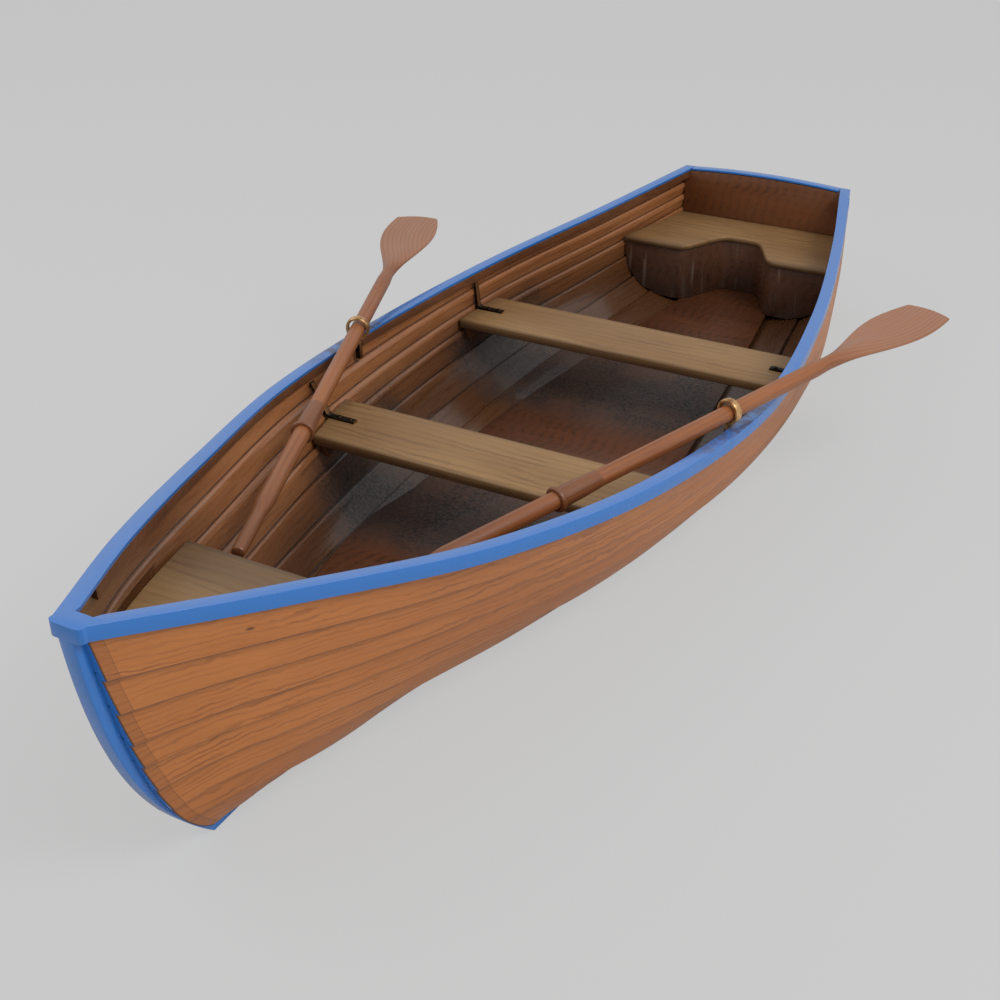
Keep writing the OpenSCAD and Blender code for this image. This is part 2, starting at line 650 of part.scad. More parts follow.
module oar(side) {
    blade_steps = 24;
    root = blade_reach - blade_l;
    shaft_end = blade_reach - 0.55 * blade_l;
    half = [for (k = [0:blade_steps]) let(d = blade_l * k / blade_steps) [blade_half(d), root + d]];
    outline = concat(half, [[0, blade_reach + 12]], [for (k = [blade_steps:-1:0]) [-half[k].x, half[k].y]]);
    shaft = [[0, -handle_reach], [grip_r - 3, -handle_reach], [grip_r, -handle_reach + 4],
        [grip_r, -handle_reach + grip_l], [shaft_r, -handle_reach + grip_l + taper_l],
        [shaft_r, root - taper_l], [neck_r, root + 40], [blade_t / 2, shaft_end], [0, shaft_end]];
    color(oar_colour) on_side(side) along_oar() translate([0, 0, -oar_drop]) {
        rotate([-90, 0, 0]) rotate_extrude($fn = 48) polygon(shaft);
        translate([0, 0, -blade_t / 2]) linear_extrude(blade_t) polygon(outline);
    }
}

module oar_collar(side) {
    sleeve_from = -collar_reach;
    sleeve_r = shaft_r + sleeve_wall;
    collar_r = sleeve_r + collar_proud;
    bore = shaft_r + fit_gap / 3;
    collar_from = sleeve_from - collar_l;
    sleeve_to = sleeve_from + sleeve_l;
    wall = [[bore, collar_from], [collar_r - 2, collar_from], [collar_r, collar_from + 3],
        [collar_r, sleeve_from - 2], [sleeve_r, sleeve_from], [sleeve_r, sleeve_to - 4],
        [sleeve_r - 2, sleeve_to], [bore, sleeve_to]];
    color(oar_colour) on_side(side) along_oar() translate([0, 0, -oar_drop])
        rotate([-90, 0, 0]) rotate_extrude($fn = 48) polygon(wall);
}

// ---- Assembly ----
keel();
stem();
transom();
transom_trim();
transom_cap();
bow_cap();
floor_panel();
bow_seat();
middle_thwart();
aft_thwart();
stern_seat();
stern_panel();
for (side = SIDES) {
    garboard(side);
    for (i = [2:8]) strake(side, i);
    rail(side);
    inwale(side);
    seat_cleats(side);
    knee(side, middle_thwart_at, middle_thwart_h);
    knee(side, aft_thwart_at, aft_thwart_h);
    socket(side);
    rowlock(side);
    oar(side);
    oar_collar(side);
}
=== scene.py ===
"""A clinker-built rowing boat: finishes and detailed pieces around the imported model.

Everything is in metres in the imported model's frame: +X to port, -Y to the bow, +Z up,
with the origin on the centreline, amidships, at the light waterline.
"""
import json
import math

import bmesh
import bpy
import numpy as np
from mathutils import Matrix, Vector


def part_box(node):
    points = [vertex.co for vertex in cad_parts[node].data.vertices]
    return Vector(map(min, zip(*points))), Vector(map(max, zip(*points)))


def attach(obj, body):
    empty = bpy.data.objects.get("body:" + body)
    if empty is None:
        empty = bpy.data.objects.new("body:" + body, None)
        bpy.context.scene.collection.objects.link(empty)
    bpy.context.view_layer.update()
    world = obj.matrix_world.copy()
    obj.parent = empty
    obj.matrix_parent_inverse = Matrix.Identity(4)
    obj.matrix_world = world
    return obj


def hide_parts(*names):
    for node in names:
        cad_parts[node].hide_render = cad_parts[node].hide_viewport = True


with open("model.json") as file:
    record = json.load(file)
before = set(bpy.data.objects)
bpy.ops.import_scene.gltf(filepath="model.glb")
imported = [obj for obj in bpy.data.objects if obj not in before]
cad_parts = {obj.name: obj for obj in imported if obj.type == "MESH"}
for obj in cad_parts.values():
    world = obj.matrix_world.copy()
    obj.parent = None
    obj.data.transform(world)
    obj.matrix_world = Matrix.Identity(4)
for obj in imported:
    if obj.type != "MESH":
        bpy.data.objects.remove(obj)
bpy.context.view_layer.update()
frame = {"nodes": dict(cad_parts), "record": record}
SIDES = {"port": 1, "starboard": -1}

# ---- The hull's lines, as in the construction ----
LENGTH, HALF_BREADTH, DEPTH, DRAFT = 3.6, 0.586, 0.376, 0.1
RABBET_HEIGHT, BACKBONE_W = 0.027, 0.034
PLANK_T, PLANK_LAP, FIT_GAP = 0.009, 0.016, 0.0003
PLANK_X = BACKBONE_W / 2 + FIT_GAP
# along, breadth, sheer height, floor breadth, floor height, bilge breadth, bilge height
LINES = [
    (0.097, 0.321, 1.564, 0.096, 0.043, 0.222, 0.532),
    (0.222, 0.645, 1.306, 0.353, 0.040, 0.401, 0.360),
    (0.361, 0.894, 1.133, 0.682, 0.037, 0.604, 0.186),
    (0.528, 1.000, 1.000, 0.906, 0.060, 0.826, 0.160),
    (0.694, 0.912, 0.992, 0.901, 0.080, 0.915, 0.217),
    (0.861, 0.717, 1.018, 0.713, 0.093, 0.729, 0.242),
    (1.000, 0.509, 1.104, 0.510, 0.105, 0.520, 0.265)]
RABBET = [(0.0710, 0.072), (0.0333, 0.293), (0.0172, 0.990), (0.0044, 1.755)]
# upper edge of each strake as a share of the girth: at the stem, amidships, at the transom
STRAKE_EDGES = [
    (0.185, 0.227, 0.200), (0.282, 0.455, 0.400), (0.396, 0.571, 0.530), (0.504, 0.688, 0.650),
    (0.602, 0.779, 0.750), (0.727, 0.851, 0.835), (0.850, 0.922, 0.915), (1.000, 1.000, 1.000)]
EDGES_MID = 0.528
STEM_TOP = RABBET[3][0] * LENGTH
KNOTS = [STEM_TOP] + [row[0] * LENGTH for row in LINES]
CONTROLS = np.array(
    [[(PLANK_X, a * LENGTH, h * DEPTH) for a, h in RABBET]] +
    [[(PLANK_X, r[0] * LENGTH, RABBET_HEIGHT),
      (r[3] * HALF_BREADTH, r[0] * LENGTH, r[4] * DEPTH),
      (r[5] * HALF_BREADTH, r[0] * LENGTH, r[6] * DEPTH),
      (r[1] * HALF_BREADTH, r[0] * LENGTH, r[2] * DEPTH)] for r in LINES])


def hermite(a, b, slope_a, slope_b, h, t):
    """A cubic from a to b over a length h with the slopes given at its ends, at a share t."""
    return (a * (2 * t**3 - 3 * t * t + 1) + slope_a * h * (t**3 - 2 * t * t + t)
            + b * (3 * t * t - 2 * t**3) + slope_b * h * (t**3 - t * t))


def control_slopes():
    """Slopes along the boat of the sections' control points, from each knot's neighbours."""
    last = len(KNOTS) - 1
    slopes = []
    for i in range(last + 1):
        a, b = max(i - 1, 0), min(i + 1, last)
        s = (CONTROLS[b] - CONTROLS[a]) / (KNOTS[b] - KNOTS[a])
        if i:
            s[:, 1] = 1
        slopes.append(s)
    return slopes


SLOPES = control_slopes()


def section(u):
    """The four control points of the planking's inner surface at an along value."""
    i = max(k for k in range(len(KNOTS) - 1) if k == 0 or u >= KNOTS[k])
    h = KNOTS[i + 1] - KNOTS[i]
    return hermite(CONTROLS[i], CONTROLS[i + 1], SLOPES[i], SLOPES[i + 1], h, (u - KNOTS[i]) / h)


def bezier(c, t):
    """Points on a cubic curve with four control points."""
    t = np.asarray(t, float)[..., None]
    return (c[0] * (1 - t)**3 + c[1] * 3 * t * (1 - t)**2
            + c[2] * 3 * t * t * (1 - t) + c[3] * t**3)


def bezier_slope(c, t):
    t = np.asarray(t, float)[..., None]
    return ((c[1] - c[0]) * 3 * (1 - t)**2 + (c[2] - c[1]) * 6 * t * (1 - t)
            + (c[3] - c[2]) * 3 * t * t)


class Station:
    """A section of the hull that turns shares of the girth into points."""
    NEIGHBOUR = 0.004

    def __init__(self, u):
        self.u = u
        self.c = section(u)
        self.aft = section(min(u + self.NEIGHBOUR, LENGTH))
        self.fore = section(max(u - self.NEIGHBOUR, STEM_TOP))
        self.steps = np.linspace(0, 1, 65)
        points = bezier(self.c, self.steps)
        run = np.concatenate([[0], np.cumsum(np.linalg.norm(np.diff(points, axis=0), axis=1))])
        self.girth = run[-1]
        self.shares = run / self.girth

    def on_hull(self, share, out=0.0):
        """Points at shares of the girth, moved outwards within the plane across the boat."""
        t = np.interp(share, self.shares, self.steps)
        n = np.cross(bezier(self.aft, t) - bezier(self.fore, t), bezier_slope(self.c, t))
        flat = np.linalg.norm(n[..., [0, 2]], axis=-1, keepdims=True)
        across = n * np.array([1, 0, 1]) / flat
        shift = np.asarray(out, float)[..., None] * np.linalg.norm(n, axis=-1, keepdims=True) / flat
        return place(bezier(self.c, t) + across * shift)

    @property
    def sheer(self):
        return place(self.c[3])


def place(p):
    """From the construction's coordinates, counted from the bow and the keel, to the frame."""
    return np.asarray(p, float) - np.array([0, LENGTH / 2, DRAFT])


def edge_share(i, u):
    """Upper edge of strake i, counted from 0, as a share of the girth."""
    if i < 0:
        return 0.0
    stem, mid, stern = STRAKE_EDGES[i]
    middle, span = EDGES_MID * LENGTH, LENGTH - STEM_TOP
    through = (stern - stem) / span
    if u < middle:
        h = middle - STEM_TOP
        return hermite(stem, mid, (mid - stem) / h, through, h, (u - STEM_TOP) / h)
    h = LENGTH - middle
    return hermite(mid, stern, through, (stern - mid) / h, h, (u - middle) / h)


STATION_COUNT = 121
STATIONS = [Station(STEM_TOP + (LENGTH - STEM_TOP) * (0.55 * s + 0.45 * s * s))
            for s in np.linspace(0, 1, STATION_COUNT)]


# ---- Node materials ----
class Shader:
    """A new node material with a few short ways to add nodes."""

    def __init__(self, name):
        self.material = bpy.data.materials.new(name)
        self.material.use_nodes = True
        self.tree = self.material.node_tree
        self.bsdf = self.tree.nodes["Principled BSDF"]

    def add(self, kind, settings=None, **sockets):
        made = self.tree.nodes.new("ShaderNode" + kind)
        for key, value in (settings or {}).items():
            setattr(made, key, value)
        for key, value in sockets.items():
            self.put(made.inputs[key.replace("_", " ")], value)
        return made

    def put(self, socket, value):
        if isinstance(value, bpy.types.NodeSocket):
            self.tree.links.new(value, socket)
        else:
            socket.default_value = value

    def maths(self, operation, a, b=0.0):
        made = self.add("Math", {"operation": operation})
        self.put(made.inputs[0], a)
        self.put(made.inputs[1], b)
        return made.outputs[0]

    def sum(self, *terms):
        total = terms[0]
        for term in terms[1:]:
            total = self.maths("ADD", total, term)
        return total

    def times(self, a, b):
        return self.maths("MULTIPLY", a, b)

    def span(self, value, low, high, to_low=0.0, to_high=1.0):
        """value carried from low..high to to_low..to_high, held at the ends."""
        made = self.add("MapRange", {"interpolation_type": "SMOOTHSTEP"})
        for k, v in enumerate((value, low, high, to_low, to_high)):
            self.put(made.inputs[k], v)
        return made.outputs[0]

    def mix(self, factor, a, b, kind="MIX"):
        made = self.add("Mix", {"data_type": "RGBA", "blend_type": kind})
        self.put(made.inputs[0], factor)
        self.put(made.inputs[6], a)
        self.put(made.inputs[7], b)
        return made.outputs[2]

    def where(self, scale, turn=(0, 0, 0), uv=True):
        """Texture coordinates in metres, stretched by scale."""
        coords = self.add("TexCoord").outputs["UV" if uv else "Object"]
        return self.add("Mapping", Vector=coords, Scale=scale, Rotation=turn).outputs[0]

    def noise(self, vector, detail=3.0, rough=0.5):
        return self.add("TexNoise", Vector=vector, Scale=1.0, Detail=detail, Roughness=rough).outputs[0]

    def finish(self, colour, rough, height=None, relief=0.0, **constants):
        self.put(self.bsdf.inputs["Base Color"], colour)
        self.put(self.bsdf.inputs["Roughness"], rough)
        for key, value in constants.items():
            self.bsdf.inputs[key.replace("_", " ")].default_value = value
        if height is not None:
            bump = self.add("Bump", Height=height, Distance=relief, Strength=1.0)
            self.put(self.bsdf.inputs["Normal"], bump.outputs[0])
        return self.material


def srgb(*rgb):
    """A colour given as it looks on the screen, 0 to 255."""
    c = [v / 255 for v in rgb]
    return tuple(v / 12.92 if v <= 0.04045 else ((v + 0.055) / 1.055)**2.4 for v in c) + (1.0,)


# Where along the boat, by each thwart, painted shade and sooty specks lie, and how far they reach
GRIME_SHADE_MIDDLE, GRIME_SHADE_AFT, GRIME_SHADE_REACH = -0.27, 0.66, 0.36
ROWLOCK_Y = -0.1
GRAIN_RELIEF = 0.0004
# Along each plank: the dark cut end, and the band of end wood with a line at its edge
CUT_END, END_BAND, END_LINE = 0.005, 0.025, 0.0014
# Fore part and depth inside the boat where painted shade darkens the planks
SHADE_FORE, SHADE_DEPTH = (-1.5, -0.7), (0.0, 0.24)
# Turns that bring the grain along the boat or upright
ALONG_BOAT, UPRIGHT = (0, 0, math.pi / 2), (0, math.pi / 2, 0)
# From the end of an oar's handle to the root of its blade
HANDLE_TO_BLADE = 1.525
# Half breadths between which painted shade darkens the floor's edges
FLOOR_EDGE_SHADE = (0.26, 0.36)


class Wood(Shader):
    """Timber whose grain runs along the first coordinate of its UVs, or of its turned position."""

    def __init__(self, name, light, middle, dark, pitch=0.009, sway=0.05, contrast=0.5,
                 uv=True, turn=(0, 0, 0)):
        super().__init__(name)
        self.uv, self.turn = uv, turn
        self.flat = self.add("SeparateXYZ", Vector=self.grain(1, 1))
        self.place = self.add("SeparateXYZ", Vector=self.where((1, 1, 1), uv=False))
        drift = self.noise(self.grain(1.7, 8), 2.0)
        swirl = self.noise(self.grain(18, 26), 2.0, 0.6)
        across = self.sum(self.flat.outputs[1], self.times(drift, sway * 2),
                          self.times(swirl, sway * 0.35))
        depth = self.times(self.flat.outputs[2], 0.0 if uv else 0.6)
        phase = self.times(self.sum(across, depth), 1 / pitch)
        wave = self.maths("PINGPONG", phase, 1.0)
        faint = self.noise(self.grain(5, 60), 3.0, 0.6)
        self.lines = self.span(wave, 0.0, 0.55)
        self.fibres = self.noise(self.grain(16, 700), 3.0, 0.6)
        tone = self.noise(self.grain(1.3, 5), 3.0, 0.55)
        soft = self.span(faint, 0.32, 0.68, 1 - contrast, 1.0)
        bands = self.maths("MAXIMUM", self.lines, soft)
        self.colour = self.mix(self.span(tone, 0.3, 0.7), middle, light)
        patchy = self.span(self.noise(self.grain(3, 16), 2.0), 0.36, 0.62, 0.35, 1.0)
        self.colour = self.mix(self.times(self.maths("SUBTRACT", 1.0, bands), patchy), self.colour, dark)
        self.darken(self.span(self.fibres, 0.3, 0.7, 0.90, 1.0))
        self.height = self.sum(self.times(self.lines, 0.5), self.times(self.fibres, 0.5))
        self.roughness = self.span(faint, 0.3, 0.7, 0.0, 0.12)

    def grain(self, along, across):
        return self.where((along, across, across), self.turn, self.uv)

    def knots(self):
        """A few dark pin knots, drawn out along the grain."""
        cells = self.add("TexVoronoi", Vector=self.grain(3.1, 9.5), Scale=1.0).outputs["Distance"]
        self.stain(self.times(self.span(cells, 0.02, 0.045, 1.0, 0.0), 0.8), srgb(58, 34, 20))

    def stain(self, amount, colour):
        self.colour = self.mix(amount, self.colour, colour)

    def darken(self, shade):
        grey = self.add("CombineColor", Red=shade, Green=shade, Blue=shade).outputs[0]
        self.colour = self.mix(1.0, self.colour, grey, "MULTIPLY")

    def near(self, value, centre, reach):
        """1 within reach of the centre, falling smoothly to 0 at the edge."""
        away = self.maths("ABSOLUTE", self.maths("SUBTRACT", value, centre))
        return self.span(away, reach * 0.55, reach, 1.0, 0.0)

    def grime_and_shade(self, low, high):
        """Painted shade low in the boat under the thwarts, with sooty specks in it."""
        y, z = self.place.outputs[1], self.place.outputs[2]
        zones = self.maths("MAXIMUM", self.near(y, GRIME_SHADE_MIDDLE, GRIME_SHADE_REACH),
                           self.near(y, GRIME_SHADE_AFT, GRIME_SHADE_REACH))
        depth = self.span(z, low, high, 1.0, 0.0)
        patches = self.span(self.noise(self.where((7, 7, 7), uv=False), 5.0, 0.7), 0.42, 0.58)
        specks = self.span(self.noise(self.where((95, 95, 95), uv=False), 4.0, 0.75), 0.44, 0.56)
        shade_and_film = self.times(zones, depth)
        sooty = self.times(shade_and_film, specks)
        # painted shade under the thwarts and low in the boat; the sooty specks lie within it
        self.stain(self.times(shade_and_film, 0.55), srgb(46, 40, 37))
        self.stain(self.times(sooty, patches), srgb(24, 22, 22))
        self.roughness = self.sum(self.roughness, self.times(shade_and_film, 0.2), self.times(sooty, 0.2))

    def done(self, rough, **constants):
        rough = self.sum(self.roughness, rough)
        return self.finish(self.colour, rough, self.height, GRAIN_RELIEF, **constants)


def planking():
    """Varnished planks, with painted shade along the laps and a band of end grain at the stem."""
    s = Wood("planking", srgb(198, 122, 58), srgb(182, 108, 48), srgb(138, 76, 30), 0.0075, 0.06, 0.75)
    s.knots()
    u = s.flat.outputs[0]
    s.stain(s.span(u, END_BAND - 0.001, END_BAND + 0.001, 0.28, 0.0), srgb(120, 66, 32))
    s.stain(s.times(s.near(u, END_BAND + 0.0012, END_LINE), 0.45), srgb(84, 50, 30))
    s.stain(s.span(u, CUT_END / 5, CUT_END, 0.9, 0.0), srgb(30, 20, 16))
    lap_shade = s.add("Attribute", {"attribute_name": "lap_shade"}).outputs["Fac"]
    # painted shade along each lap's lower edge
    s.stain(s.span(lap_shade, 0.45, 0.85, 0.0, 0.9), srgb(70, 54, 48))
    return s.done(0.36, Coat_Weight=0.25, Coat_Roughness=0.3)


def inside_planking():
    """The planks' inner faces: painted shade low down, in the bow and in the hollows above the laps, and
    painted shade with sooty specks under the thwarts.
    """
    s = Wood("inside_planking", srgb(182, 120, 74), srgb(164, 104, 62), srgb(104, 60, 34),
             0.011, 0.05, 0.4)
    lap_shade = s.add("Attribute", {"attribute_name": "lap_shade"}).outputs["Fac"]
    # painted shade in the hollows above the laps
    s.stain(s.span(lap_shade, 0.25, 0.8, 0.0, 0.9), srgb(28, 18, 14))
    # painted shade: darker low in the boat and in the bow
    s.darken(s.span(s.place.outputs[2], *SHADE_DEPTH, 0.25, 1.0))
    s.darken(s.span(s.place.outputs[1], *SHADE_FORE, 0.45, 1.0))
    s.grime_and_shade(0.02, 0.2)
    return s.done(0.22, Coat_Weight=0.5, Coat_Roughness=0.16)


def floor_boards():
    """Brown floor, with painted shade and sooty specks under the thwarts and painted shade along its
    edges.
    """
    s = Wood("floor", srgb(104, 60, 34), srgb(88, 50, 28), srgb(58, 36, 22), 0.016, 0.06, 0.7,
             uv=False, turn=ALONG_BOAT)
    s.grime_and_shade(0.0, 0.3)
    out = s.maths("ABSOLUTE", s.place.outputs[0])
    # painted shade along the floor's edges, where it meets the planks
    s.stain(s.span(out, *FLOOR_EDGE_SHADE, 0.0, 0.7), srgb(30, 24, 22))
    return s.done(0.3, Coat_Weight=0.2, Coat_Roughness=0.25)


def seat_wood():
    """Oiled thwarts, darker towards their edges and ends, with painted shade towards their undersides.
    """
    s = Wood("seats", srgb(162, 126, 82), srgb(144, 108, 68), srgb(106, 76, 44), 0.013, 0.05, 0.62,
             uv=False)
    box = s.add("SeparateXYZ", Vector=s.add("TexCoord").outputs["Generated"])
    for axis, reach, amount in ((0, 0.06, 0.35), (1, 0.07, 0.45)):
        edge = s.maths("ABSOLUTE", s.maths("SUBTRACT", box.outputs[axis], 0.5))
        s.stain(s.span(edge, 0.5 - reach, 0.5, 0.0, amount), srgb(62, 42, 26))
    # painted shade, darker towards each seat's underside
    s.stain(s.span(box.outputs[2], 0.35, 0.75, 0.55, 0.0), srgb(66, 44, 28))
    return s.done(0.42)


def oar_wood():
    """Varnished shafts, and blades worn paler."""
    s = Wood("oars", srgb(164, 101, 57), srgb(144, 84, 46), srgb(108, 59, 31), 0.007, 0.012, 0.6)
    u = s.flat.outputs[0]
    blade = s.span(u, HANDLE_TO_BLADE - 0.03, HANDLE_TO_BLADE + 0.16, 0.0, 0.75)
    s.stain(s.times(blade, s.span(s.lines, 0.0, 1.0, 0.55, 1.0)), srgb(168, 116, 86))
    # darker towards the handle end
    s.stain(s.span(u, 0.02, 0.6, 0.5, 0.0), srgb(96, 60, 40))
    return s.done(0.34, Coat_Weight=0.2, Coat_Roughness=0.25)


def dark_timber(name, light, middle, dark, turn, rough=0.34, streaks_and_shade=False):
    """Stained timber inside the boat; where it has streaks, pale drips and scuffs, and painted shade
    darker towards the bottom.
    """
    s = Wood(name, light, middle, dark, 0.011, 0.04, 0.6, uv=False, turn=turn)
    if streaks_and_shade:
        drips = s.noise(s.where((34, 34, 3), uv=False), 3.0, 0.6)
        scuffs = s.noise(s.where((60, 60, 60), uv=False), 5.0, 0.75)
        s.stain(s.span(drips, 0.62, 0.72, 0.0, 0.4), srgb(150, 134, 120))
        s.stain(s.span(scuffs, 0.66, 0.74, 0.0, 0.5), srgb(160, 148, 138))
        # painted shade, darker towards the bottom
        s.darken(s.span(s.place.outputs[2], -0.06, 0.1, 0.6, 1.0))
    return s.done(rough, Coat_Weight=0.25, Coat_Roughness=0.25)


def paint(name, colour, wear_and_sheen, oar_shadow):
    """Gloss paint with brush marks and chalky roughness, painted paler on faces turned up as painted
    reflection, with painted shadow of the oars beside the rowlocks.
    """
    s = Shader(name)
    place = s.add("SeparateXYZ", Vector=s.where((1, 1, 1), uv=False))
    facing = s.add("SeparateXYZ", Vector=s.add("NewGeometry").outputs["Normal"])
    brush = s.noise(s.where((170, 7, 170), uv=False), 3.0)
    chalk = s.noise(s.where((6, 6, 6), uv=False), 4.0)
    # painted reflection: faces turned up are painted paler, broken by the chalk noise
    top = s.span(facing.outputs[2], 0.3, 0.8)
    tone = s.mix(s.maths("MULTIPLY", top, s.span(chalk, 0.3, 0.75, 0.25, 0.6)), colour, wear_and_sheen)
    # painted shadow of the oars on the tops beside the rowlocks; it also roughens the paint
    away = s.maths("ABSOLUTE", s.maths("SUBTRACT", place.outputs[1], ROWLOCK_Y))
    oar_shadow_and_scuff = s.maths("MULTIPLY", s.span(away, 0.1, 0.28, 1.0, 0.0),
                     s.span(s.noise(s.where((30, 30, 30), uv=False), 4.0, 0.7), 0.38, 0.6))
    tone = s.mix(s.maths("MULTIPLY", s.maths("MULTIPLY", oar_shadow_and_scuff, top), 0.75), tone, oar_shadow)
    rough = s.maths("ADD", s.span(chalk, 0.3, 0.7, 0.22, 0.32), s.maths("MULTIPLY", oar_shadow_and_scuff, 0.2))
    return s.finish(tone, rough, brush, 0.0001, Coat_Weight=0.5, Coat_Roughness=0.1)


def metal(name, colour, dark, rough=0.35, wear_and_sheen=None, metallic=1.0):
    """Cast metal with darker patina, worn to another colour on the faces that look across the boat."""
    s = Shader(name)
    patina = s.noise(s.where((40, 40, 40), uv=False), 5.0, 0.65)
    grit = s.noise(s.where((420, 420, 420), uv=False), 2.0)
    tone = s.mix(s.span(patina, 0.4, 0.65), colour, dark)
    if wear_and_sheen:
        facing = s.add("SeparateXYZ", Vector=s.add("NewGeometry").outputs["Normal"]).outputs[0]
        tone = s.mix(s.span(s.maths("ABSOLUTE", facing), 0.6, 0.85, 0.0, 0.85), tone, wear_and_sheen)
    return s.finish(tone, s.span(patina, 0.3, 0.7, rough, rough + 0.2), grit, 0.0002, Metallic=metallic)


MATERIALS = {
    "planking": planking(), "inside_planking": inside_planking(), "floor": floor_boards(),
    "seats": seat_wood(), "oars": oar_wood(),
    "inside_timber": dark_timber("inside_timber", srgb(110, 70, 44), srgb(92, 58, 36), srgb(66, 40, 26),
                                 ALONG_BOAT),
    "inwale": dark_timber("inwale", srgb(124, 78, 48), srgb(106, 64, 38), srgb(74, 44, 28), ALONG_BOAT),
    "transom": dark_timber("transom", srgb(116, 66, 30), srgb(98, 54, 24), srgb(70, 38, 18), UPRIGHT),
    "stern_panel": dark_timber("stern_panel", srgb(98, 64, 46), srgb(78, 52, 38), srgb(54, 36, 28),
                               UPRIGHT, 0.26, True),
    "blue": paint("blue", srgb(38, 117, 198), srgb(88, 130, 200), srgb(84, 70, 60)),
    "brass": metal("brass", srgb(226, 182, 128), srgb(150, 108, 70), 0.26, metallic=0.75),
    "iron": metal("iron", srgb(58, 52, 46), srgb(28, 24, 22), 0.42, srgb(150, 104, 66)),
}
SLOT_MATERIALS = {"planking": "planking", "inside_timber": "inside_timber", "blue_paint": "blue",
                  "thwart_timber": "seats", "oar_timber": "oars", "brass": "brass", "iron": "iron"}


def dress_frame():
    """The CAD nodes that show get the finish of their material slot."""
    for part in frame["record"]["subparts"]:
        mesh = frame["nodes"][part["node"]].data
        mesh.materials.clear()
        name = "floor" if part["node"] == "floor_panel" else SLOT_MATERIALS[part["material_slot"]]
        mesh.materials.append(MATERIALS[name])


dress_frame()


# ---- Mesh helpers ----
def new_piece(name, mesh, materials, nodes, body="hull", sharp=35):
    """An object for the mesh that stands for the CAD nodes and rides on their body."""
    for material in materials:
        mesh.materials.append(MATERIALS[material])
    for polygon in mesh.polygons:
        polygon.use_smooth = True
    mesh.set_sharp_from_angle(angle=math.radians(sharp))
    piece = bpy.data.objects.new(name, mesh)
    bpy.context.scene.collection.objects.link(piece)
    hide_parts(*nodes)
    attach(piece, body)
    return piece


def loft_mesh(name, rings, uvs, side=1, marks=None, face_material=None, caps=True,
              ends=(0, 1)):
    """A closed skin through rings of equal size; marks are named vertex values, shaped as the rings."""
    rings = np.asarray(rings, float)
    count, n, _ = rings.shape
    points = rings.reshape(-1, 3) * np.array([side, 1, 1])
    k, j = np.meshgrid(np.arange(count - 1), np.arange(n), indexing="ij")
    a, b = k * n + j, k * n + (j + 1) % n
    quads = np.stack([a, b, b + n, a + n], -1).reshape(-1, 4)
    faces = [list(q) for q in quads]
    if caps:
        faces += [list(range(n - 1, -1, -1)), list(range((count - 1) * n, count * n))]
    if side < 0:
        faces = [f[::-1] for f in faces]
    mesh = bpy.data.meshes.new(name)
    mesh.from_pydata([tuple(p) for p in points], [], faces)
    flat_uvs = np.asarray(uvs, float).reshape(-1, 2)
    layer = mesh.uv_layers.new(name="UVMap")
    corner = np.empty(len(mesh.loops), int)
    mesh.loops.foreach_get("vertex_index", corner)
    layer.data.foreach_set("uv", flat_uvs[corner].ravel())
    for key, values in (marks or {}).items():
        attribute = mesh.attributes.new(key, "FLOAT", "POINT")
        attribute.data.foreach_set("value", np.asarray(values, float).ravel())
    if face_material is not None:
        kinds = [face_material(int(i) % n) for i in range(len(quads))] + list(ends)[:2 * caps]
        mesh.polygons.foreach_set("material_index", kinds)
    mesh.update()
    return mesh


def ring_uvs(rings, across_from=0.0):
    """U runs in metres along the rings and V around them."""
    rings = np.asarray(rings, float)
    along = np.concatenate([np.zeros((1, rings.shape[1])),
                            np.cumsum(np.linalg.norm(np.diff(rings, axis=0), axis=2), axis=0)])
    around = np.concatenate([np.zeros((len(rings), 1)),
                             np.cumsum(np.linalg.norm(np.diff(rings, axis=1), axis=2), axis=1)], axis=1)
    return np.stack([along, across_from + around], -1)


# ---- Planking ----
EDGE_ROUND = 0.002
# width of the painted shade under each lap's lower edge
LAP_SHADE_W = 0.0014
MOULDED_FROM, LAND_ROUND = 4, 2.4    # strakes whose upper edges are rounded broadly inside
FAIRED_L = 0.12    # length over which the planks thicken towards the stem, until they meet its side


def plank_profile(i, s):
    """Shares of the girth, outward offsets and marks of painted shade at the laps round a plank's
    section.
    """
    low, high = edge_share(i - 1, s.u), edge_share(i, s.u)
    mm = 0.001 / s.girth
    lap = PLANK_LAP / s.girth
    step = 0 if i == 0 else PLANK_T + FIT_GAP
    foot = 0 if i == 0 else low - lap
    bevel = high - lap
    fair = min(1.0, (s.u - STEM_TOP) / FAIRED_L)
    # the outer face, from the rounded lower edge up to the bevel that the next plank laps
    outer = [(foot, step + PLANK_T - EDGE_ROUND, 1), (foot + 0.3 * mm, step + PLANK_T - 0.0005, 1),
             (foot + LAP_SHADE_W * 1000 * mm, step + PLANK_T, 0.9), (foot + 3 * mm, step + PLANK_T, 0)]
    for t in (0.25, 0.5, 0.75):
        outer.append((foot + (bevel - foot) * t, step * (1 - t) + PLANK_T, 0))
    outer += [(bevel, PLANK_T, 0), (high, PLANK_T, 0)]
    # the inner face, from the rounded upper edge down to where it lies on the plank below
    broad = LAND_ROUND if i >= MOULDED_FROM else 1.0
    inner = [(high, 0.0055, 0), (high - 1.2 * broad * mm, 0.0020, 0),
             (high - 3.5 * broad * mm, 0.0005, 0), (high - 7 * broad * mm, 0, 0)]
    for t in (0.3, 0.6):
        inner.append((high + (low + 5 * mm - high) * t, step * t * 0.9 * fair, 0))
    inner += [(low + 5 * mm, step * 0.92 * fair, 0.3), (low + (0.4 + 1.6 * fair) * mm, step * fair, 0.8),
              (low, step, 1), (foot, step, 1)]
    return np.array(outer + inner)


OUTER_FACES = 8


